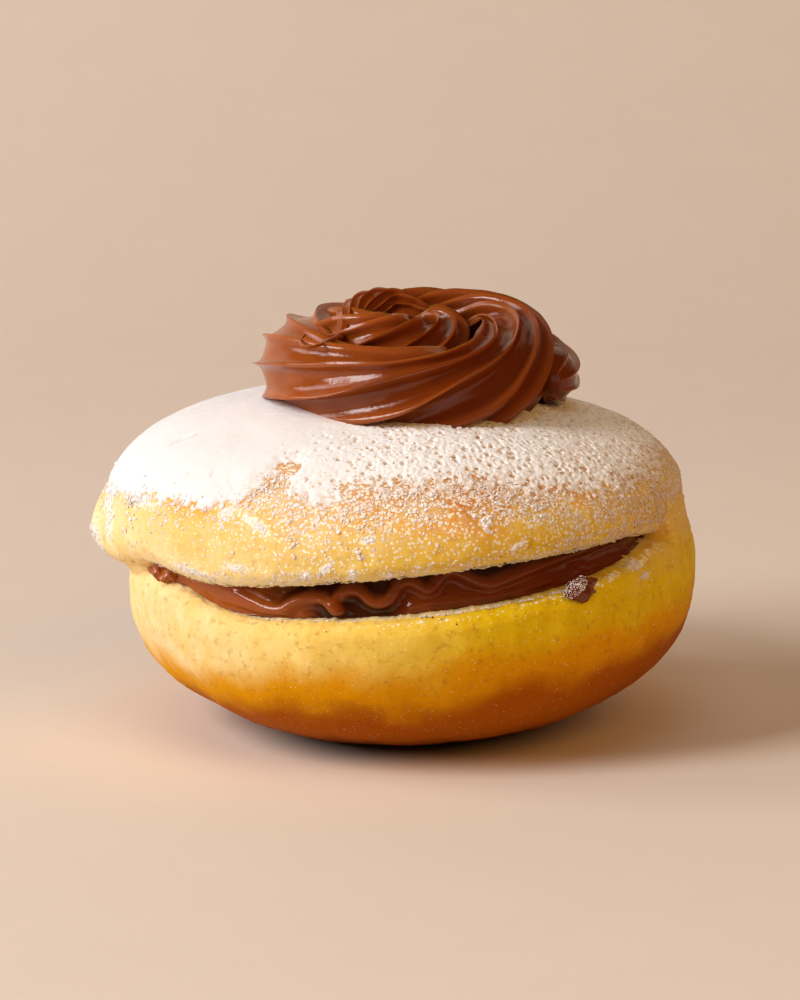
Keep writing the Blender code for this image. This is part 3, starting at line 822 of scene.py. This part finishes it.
RIDGE_SHIFTS = (  # turns, then the degrees by which each ridge strays from an even star
    (0.50, 0, 0, 0, 0, 0, 0, 0, 0, -3),
    (0.66, -2, 0, 0, 0, 0, 0, 0, -3, -3),
    (0.74, -20, -8, 0, 0, 0, 0, -4, -6, 2),
    (0.82, -29, -12, 0, 0, 0, 0, -6, 12, -5),
    (0.90, -25, -14, 0, 0, 0, 17, 14, 7, -10),
    (0.98, -36, -16, 0, 0, 8, 25, 14, 0, -4),
    (1.10, -20, -10, 0, 0, 4, 12, 8, 0, 0),
    (1.30, 0, 0, 0, 0, 0, 0, 0, 0, 0),
)


def rope_at(share):
    """The rope's turns, centre and radius, and the turn of its star, along its length."""
    turns, spiral, height, radius, star = smooth_read(ROPE, share * (len(ROPE) - 1)).T
    turn = 2 * np.pi * turns
    centre = np.stack([np.cos(turn) * spiral, np.sin(turn) * spiral, height], axis=-1) * MM + ROSETTE_CENTRE
    return turns, centre, radius * MM, 2 * np.pi * star


def crests(share):
    """The angle of each ridge round the rope, with the first one repeated a full turn later."""
    turns, _, _, star = rope_at(share)
    shifts = np.array(RIDGE_SHIFTS)
    stray = smooth_read(shifts[:, 1:], np.interp(turns, shifts[:, 0], np.arange(len(shifts))))
    angles = star[:, None] + np.radians(stray + np.arange(RIDGES) * 360 / RIDGES)
    return np.hstack([angles, angles[:, :1] + 2 * np.pi])


def rope_place(across, up):
    turns, centre, radius, _ = rope_at(across)
    ahead = unit(rope_at(np.minimum(1, across + 0.001))[1] - rope_at(np.maximum(0, across - 0.001))[1])
    out = unit(np.cross(ahead, (0, 0, 1)))
    above = np.cross(out, ahead)
    ridge = np.minimum((up * RIDGES).astype(int), RIDGES - 1)
    share = up * RIDGES - ridge
    angles = crests(across)
    at, following = (np.take_along_axis(angles, (ridge + step)[:, None], axis=1)[:, 0] for step in (0, 1))
    width = (following - at) * RIDGES / (2 * np.pi)
    leaning = share + RIDGE_LEAN * 0.16 * np.sin(2 * np.pi * share)
    valley = np.maximum(np.sin(np.pi * leaning), 0) ** RIDGE_SHARPNESS
    angle = mix(at, following, share)
    pressed = PRESSED * bump(turns, 0.68, 0.16) * bump(np.degrees(angle), 105, 45)
    softened = 1 - 0.45 * bump(turns, 0.47, 0.13) - 0.6 * bump(turns, -0.02, 0.09)
    softened = softened * np.clip((radius - 0.6 * MM) / (2.2 * MM), 0.1, 1)
    reach = radius * (1 - pressed) * (1 - RIDGE_DEPTH * softened * np.clip(width, 0.3, 1.4) ** 0.8 * valley)
    lip = np.minimum(share, 1 - share) * width
    reach = reach + RIDGE_LIP * softened * bump(lip, 0, 0.06) * np.clip(radius / (5 * MM), 0, 1)
    away = out * np.cos(angle)[:, None] + above * np.sin(angle)[:, None]
    ripple = uneven(centre + away * radius[:, None], 5, 2, 2.0) * 0.16 * MM
    return centre + away * (reach + ripple * np.clip(radius / (4 * MM), 0, 1))[:, None]


def near_crest(across, up):
    """1 on the thin lip of each ridge, 0 in the valleys, where the cream is painted lighter as a painted glow."""
    share = up * RIDGES % 1
    return bump(np.minimum(share, 1 - share), 0, 0.07)


# Its mark is high on the lips of the ridges, where the cream's material paints a glow of light.
rosette = wrapped("rosette", 590, 162, rope_place, cap=True, crest=near_crest)
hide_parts("cream_rosette")

# %% [markdown]
# ## Tools for materials
# Colours are easiest to name as hex codes, which are in sRGB, while Cycles works with linear light, so one function
# turns one into the other. A second function adds a node, sets it and links it. Object coordinates place every
# pattern, so it stays on its piece.


# %% Helpers for materials
def linear(code):
    """An sRGB hex colour as linear light."""
    shares = [int(code[place : place + 2], 16) / 255 for place in (0, 2, 4)]
    return (*[share / 12.92 if share <= 0.04045 else ((share + 0.055) / 1.055) ** 2.4 for share in shares], 1)


def feed(tree, node, inputs):
    """Fills a node's inputs. Each gets a value, or the socket that feeds it."""
    for name, value in inputs.items():
        if isinstance(value, bpy.types.NodeSocket):
            tree.links.new(value, node.inputs[name])
        else:
            node.inputs[name].default_value = value


def add(tree, kind, inputs=None, out=0, **settings):
    """The output of a new shader node with these inputs and settings."""
    made = tree.nodes.new("ShaderNode" + kind)
    for name, value in settings.items():
        setattr(made, name, value)
    feed(tree, made, inputs or {})
    return made.outputs[out]


def new_material(name):
    """A material with its tree and its shader, and the object coordinates that it is drawn from."""
    made = bpy.data.materials.new(name)
    made.use_nodes = True
    tree = made.node_tree
    return made, tree, tree.nodes["Principled BSDF"], add(tree, "TexCoord", out="Object")


# %% [markdown]
# ## Fried yeast dough
# The real crust is a thin, dry, slightly oily skin over white crumb. Light goes a few millimetres in and comes out
# yellow, so the shader has some subsurface. The oil browned the bottom and the shoulder, and left a pale band between.
# Each colour is a layer that fades in as one number, such as the height, goes from one value to another. Beneath the
# layers the crust is painted paler on the lit left and a deeper yellow on the shaded right: painted light and shade.
# Fine dust is drawn last, where the dusting number says that sugar fell.

# %% Material: fried yeast dough
dough, tree, shader, place = new_material("fried yeast dough")
side, height = (add(tree, "SeparateXYZ", {"Vector": place}, out=axis) for axis in "XZ")
drift = add(tree, "TexNoise", {"Vector": place, "Scale": 1 / 0.012, "Detail": 3.0})
wander = add(tree, "Math", {0: drift, 1: 0.5}, operation="SUBTRACT")
level = add(tree, "Math", {0: wander, 1: 0.012, 2: height}, operation="MULTIPLY_ADD")  # height with a wavy edge
tilted = add(tree, "Math", {0: side, 1: -0.13, 2: level}, operation="MULTIPLY_ADD")  # browner to the right
lifted = add(tree, "Math", {0: level, 1: 0.006}, operation="ADD")
corner = add(tree, "Math", {0: lifted, 1: side}, operation="MINIMUM")  # high and far right at once
grain = add(tree, "TexVoronoi", {"Vector": place, "Scale": 1 / 0.0007})
mottle, speck, dust = (
    add(tree, "TexNoise", {"Vector": place, "Scale": 1 / size, "Detail": 5.0, "Roughness": rough})
    for size, rough in ((0.0035, 0.6), (0.0012, 0.6), (0.0006, 0.7))
)
patchy = add(tree, "MapRange", {"Value": mottle, "From Min": 0.35, "From Max": 0.65})
# Painted light and shade: the crust is painted paler on the lit left and a deeper yellow on the shaded right.
painted_side_light = add(tree, "MapRange", {"Value": side, "From Min": -0.036, "From Max": 0.013})
left, right = (
    add(tree, "MixRGB", {"Fac": patchy, "Color1": linear(pale), "Color2": linear(deep)})
    for pale, deep in (("EED19A", "E8C47C"), ("E6C41C", "DAB208"))
)
colour = add(tree, "MixRGB", {"Fac": painted_side_light, "Color1": left, "Color2": right})
crumb, dusting = (add(tree, "Attribute", out="Fac", attribute_name=name) for name in ("crumb", "dusting"))
ragged = add(tree, "Math", {0: dust, 1: 0.5, 2: grain}, operation="MULTIPLY_ADD")
bare = add(tree, "Math", {0: dusting, 1: -0.42, 2: ragged}, operation="MULTIPLY_ADD")
haze = add(tree, "Math", {0: dusting, 1: 0.5, 2: dust}, operation="MULTIPLY_ADD")
# The same painted light and shade thins the haze towards the shaded right.
haze = add(tree, "Math", {0: painted_side_light, 1: -0.16, 2: haze}, operation="MULTIPLY_ADD")
LAYERS = (  # what the layer follows, where it starts and is full, how strong it is, and its colour
    (tilted, 0.0210, 0.0145, 1.0, "DC9600"),
    (tilted, 0.0148, 0.0088, 1.0, "A85400"),
    (level, 0.0050, 0.0, 1.0, "7A3600"),
    (level, 0.0335, 0.0385, 0.5, "E4B458"),
    (level, 0.0388, 0.0425, 1.0, "E4A640"),
    (level, 0.0415, 0.0448, 1.0, "C87426"),
    (corner, 0.0330, 0.0420, 0.9, "E0BA6A"),
    (speck, 0.54, 0.68, 0.4, "A8702A"),
    (crumb, 0.0, 1.0, 1.0, "F2E2B4"),
    (haze, 0.60, 0.84, 0.4, "EADCB4"),
    (bare, 0.38, 0.26, 0.9, "F4E8D2"),
)
for follows, start, full, strength, code in LAYERS:
    reach = {"Value": follows, "From Min": start, "From Max": full, "To Max": strength}
    share = add(tree, "MapRange", reach, interpolation_type="SMOOTHSTEP")
    colour = add(tree, "MixRGB", {"Fac": share, "Color1": colour, "Color2": linear(code)})
pores = add(tree, "TexNoise", {"Vector": place, "Scale": 1 / 0.0009, "Detail": 4.0, "Roughness": 0.65})
relief = add(tree, "Bump", {"Height": pores, "Strength": 0.5, "Distance": 0.0002})
feed(tree, shader, {
    "Base Color": colour, "Normal": relief, "Roughness": 0.6, "Specular IOR Level": 0.03,
    "Subsurface Weight": 0.25, "Subsurface Radius": (1.0, 0.5, 0.15), "Subsurface Scale": 0.003,
})
for piece in (crust, lip_crumbs):
    piece.data.materials.append(dough)

# %% [markdown]
# ## Powdered sugar
# Powdered sugar is a heap of clear crystals far finer than can be drawn. They scatter light so often that the heap is
# white and quite matt. It is painted a little greyer on the brightly lit left and whiter towards the right, where less
# light falls: painted light. Where it is thin, fat from the crust soaks in and turns it tan. The grains are also
# painted tan towards the right, as painted warm shade.

# %% Material: powdered sugar
sugar, tree, shader, place = new_material("powdered sugar")
side = add(tree, "SeparateXYZ", {"Vector": place}, out="X")
# Painted light: the sugar is painted greyer on the brightly lit left and whiter towards the right, where less light
# falls.
loose = add(tree, "MapRange", {"Value": side, "From Min": -0.03, "From Max": 0.0})
painted_side_white = add(tree, "MixRGB", {"Fac": loose, "Color1": linear("E4DDDB"), "Color2": linear("EFEAE8")})
thinness_and_painted_shade = add(tree, "Attribute", out="Fac", attribute_name="thinness_and_painted_shade")
# Tan where the sugar is thin, and on the grains towards the right also painted warm shade.
soaked_and_shaded = add(tree, "Math", {0: thinness_and_painted_shade, 1: 0.6}, operation="MULTIPLY")
colour = add(tree, "MixRGB", {"Fac": soaked_and_shaded, "Color1": painted_side_white, "Color2": linear("C4935A")})
grit = add(tree, "TexNoise", {"Vector": place, "Scale": 1 / 0.00035, "Detail": 4.0, "Roughness": 0.7})
relief = add(tree, "Bump", {"Height": grit, "Strength": 0.3, "Distance": 0.00015})
feed(tree, shader, {"Base Color": colour, "Normal": relief, "Roughness": 0.95, "Specular IOR Level": 0.2})
for piece in (*sugar_coats, *loose_sugar, smear_sugar):
    piece.data.materials.append(sugar)

# %% [markdown]
# ## Piped chocolate cream
# Chocolate cream is cocoa in fat. The fat gives it a soft gloss that runs along every ridge, and the cocoa keeps
# light from going deep, so it has only a trace of subsurface. Its colour has painted light and shade in it: it is
# painted lighter on the lit left and darker towards the shaded right, painted paler as a glow on the thin lips of the
# ridges, and painted nearly black as shade in the hollows beside the bead. Tiny air bubbles roughen it.

# %% Material: piped chocolate cream
cream, tree, shader, place = new_material("piped chocolate cream")
cloud = add(tree, "TexNoise", {"Vector": place, "Scale": 1 / 0.005, "Detail": 3.0})
side = add(tree, "SeparateXYZ", {"Vector": place}, out="X")
drift = add(tree, "Math", {0: cloud, 1: 0.02, 2: side}, operation="MULTIPLY_ADD")
# Painted light and shade: the cream is painted lighter on the lit left and darker towards the shaded right.
painted_side_shade = add(tree, "MapRange", {"Value": drift, "From Min": -0.018, "From Max": 0.016})
colour = add(tree, "MixRGB", {"Fac": painted_side_shade, "Color1": linear("9E4E19"), "Color2": linear("6C2B07")})
# Painted light and shade: a painted glow on the lips of the ridges, and painted shade, nearly black, beside the bead.
for name, strength, code in (("crest", 0.45, "B05C28"), ("painted_hollow_shade", 0.88, "2C0F04")):
    number = add(tree, "Attribute", out="Fac", attribute_name=name)
    share = add(tree, "Math", {0: number, 1: strength}, operation="MULTIPLY")
    colour = add(tree, "MixRGB", {"Fac": share, "Color1": colour, "Color2": linear(code)})
bubbles = add(tree, "TexNoise", {"Vector": place, "Scale": 1 / 0.0006, "Detail": 3.0})
relief = add(tree, "Bump", {"Height": bubbles, "Strength": 0.5, "Distance": 0.0001})
satin = add(tree, "MapRange", {"Value": cloud, "To Min": 0.1, "To Max": 0.2})
feed(tree, shader, {
    "Base Color": colour, "Normal": relief, "Roughness": satin, "Specular IOR Level": 0.4,
    "Subsurface Weight": 0.15, "Subsurface Radius": (1.0, 0.35, 0.1), "Subsurface Scale": 0.001,
})
for piece in (filling, stub, rosette, smear, cream_specks):
    piece.data.materials.append(cream)

# %% [markdown]
# ## The paper
# The bun stands on one sheet of matt beige paper that curves up behind it, so there is no horizon. A grid is laid
# flat and its far part is bent up.

# %% Make the paper
FRONT, FLAT, CURVE = 0.6, 0.9, 0.5  # how far it reaches in front, how long its flat part is, the bend's radius
paper = bmesh.new()
bmesh.ops.create_grid(paper, x_segments=8, y_segments=60, size=1.6)
for vert in paper.verts:
    distance = vert.co.y + FRONT
    bend = max(0.0, min(distance - FLAT, CURVE * math.pi / 2)) / CURVE
    beyond = max(0.0, distance - FLAT - CURVE * math.pi / 2)
    y = min(distance, FLAT) + CURVE * math.sin(bend) - FRONT
    vert.co = Vector((vert.co.x * 1.6, y, CURVE * (1 - math.cos(bend)) + beyond))
backdrop = placed("paper", smooth_mesh("paper", paper))
backdrop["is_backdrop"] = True
matte, tree, shader, place = new_material("matt beige paper")
tooth = add(tree, "TexNoise", {"Vector": place, "Scale": 1 / 0.02, "Detail": 3.0})
colour = add(tree, "MixRGB", {"Fac": tooth, "Color1": linear("DDCBBC"), "Color2": linear("DAC8B9")})
feed(tree, shader, {"Base Color": colour, "Roughness": 0.8})
backdrop.data.materials.append(matte)

# %% [markdown]
# ## Light
# Two big soft lights stand at the left like a pair of windows, a ceiling lamp adds a little from above, and a warm
# room fills the shadows from the front right. The last two aren't mirrored in the cream.

# %% Light
SUBJECT = Vector((0, 0, 0.035))
LAMP_DISTANCE = 1.4


def light(name, azimuth, elevation, width, tall, watts, colour, mirrored=True):
    """An oval lamp that faces the bun."""
    data = bpy.data.lights.new(name, "AREA")
    data.shape, data.size, data.size_y, data.energy = "ELLIPSE", width, tall, watts
    data.color = linear(colour)[:3]
    turn, climb = math.radians(azimuth), math.radians(elevation)
    away = Vector((math.sin(turn) * math.cos(climb), -math.cos(turn) * math.cos(climb), math.sin(climb)))
    lamp = placed(name, data)
    lamp.location = SUBJECT + away * LAMP_DISTANCE
    lamp.rotation_euler = away.to_track_quat("Z", "Y").to_euler()
    lamp.visible_glossy = mirrored


light("window", -60, 32, 0.6, 0.95, 18.2, "FFFFFF")
light("side_window", -95, 28, 0.6, 0.95, 6.4, "FFFFFF")
light("ceiling", 0, 70, 0.95, 0.95, 2.8, "E6F6FF", mirrored=False)
light("warm_room", 40, 35, 0.95, 0.95, 7.0, "FFC773", mirrored=False)
room = bpy.data.worlds.new("room")
room.use_nodes = True
feed(room.node_tree, room.node_tree.nodes["Background"], {"Color": linear("FFE6D0"), "Strength": 0.04})
bpy.context.scene.world = room
bpy.context.scene.view_settings.view_transform = "Standard"

# %% [markdown]
# ## Camera
# The camera is 0.8 m away, looks down by 12 degrees and has a long lens, so the bun keeps its true shape.

# %% Camera
DISTANCE, TILT, FRAME_HEIGHT, SENSOR = 0.8, math.radians(12), 0.158, 36
look_at = Vector((0, 0, 0.217 * FRAME_HEIGHT / math.cos(TILT)))
lens = bpy.data.cameras.new("camera")
lens.lens, lens.sensor_width = SENSOR * DISTANCE / FRAME_HEIGHT, SENSOR
lens.clip_start, lens.clip_end = 0.05, 10
camera = placed("camera", lens)
camera.location = look_at + DISTANCE * Vector((0, -math.cos(TILT), math.sin(TILT)))
camera.rotation_euler = (math.pi / 2 - TILT, 0, 0)
bpy.context.scene.camera = camera

# %% [markdown]
# ## Finish
# Both boxes, the solids' and the model's, are gathered, and the model's size is printed.
# The model may be only a little bigger than the solids.

# %% Gather both boxes and finish
MODEL_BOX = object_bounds()
sizes = {name: [list(corner) for corner in box] for name, box in (("cad", CAD_BOX), ("visual", MODEL_BOX))}
print("size of the model in mm:", [round((high - low) / MM, 1) for low, high in zip(*MODEL_BOX)])
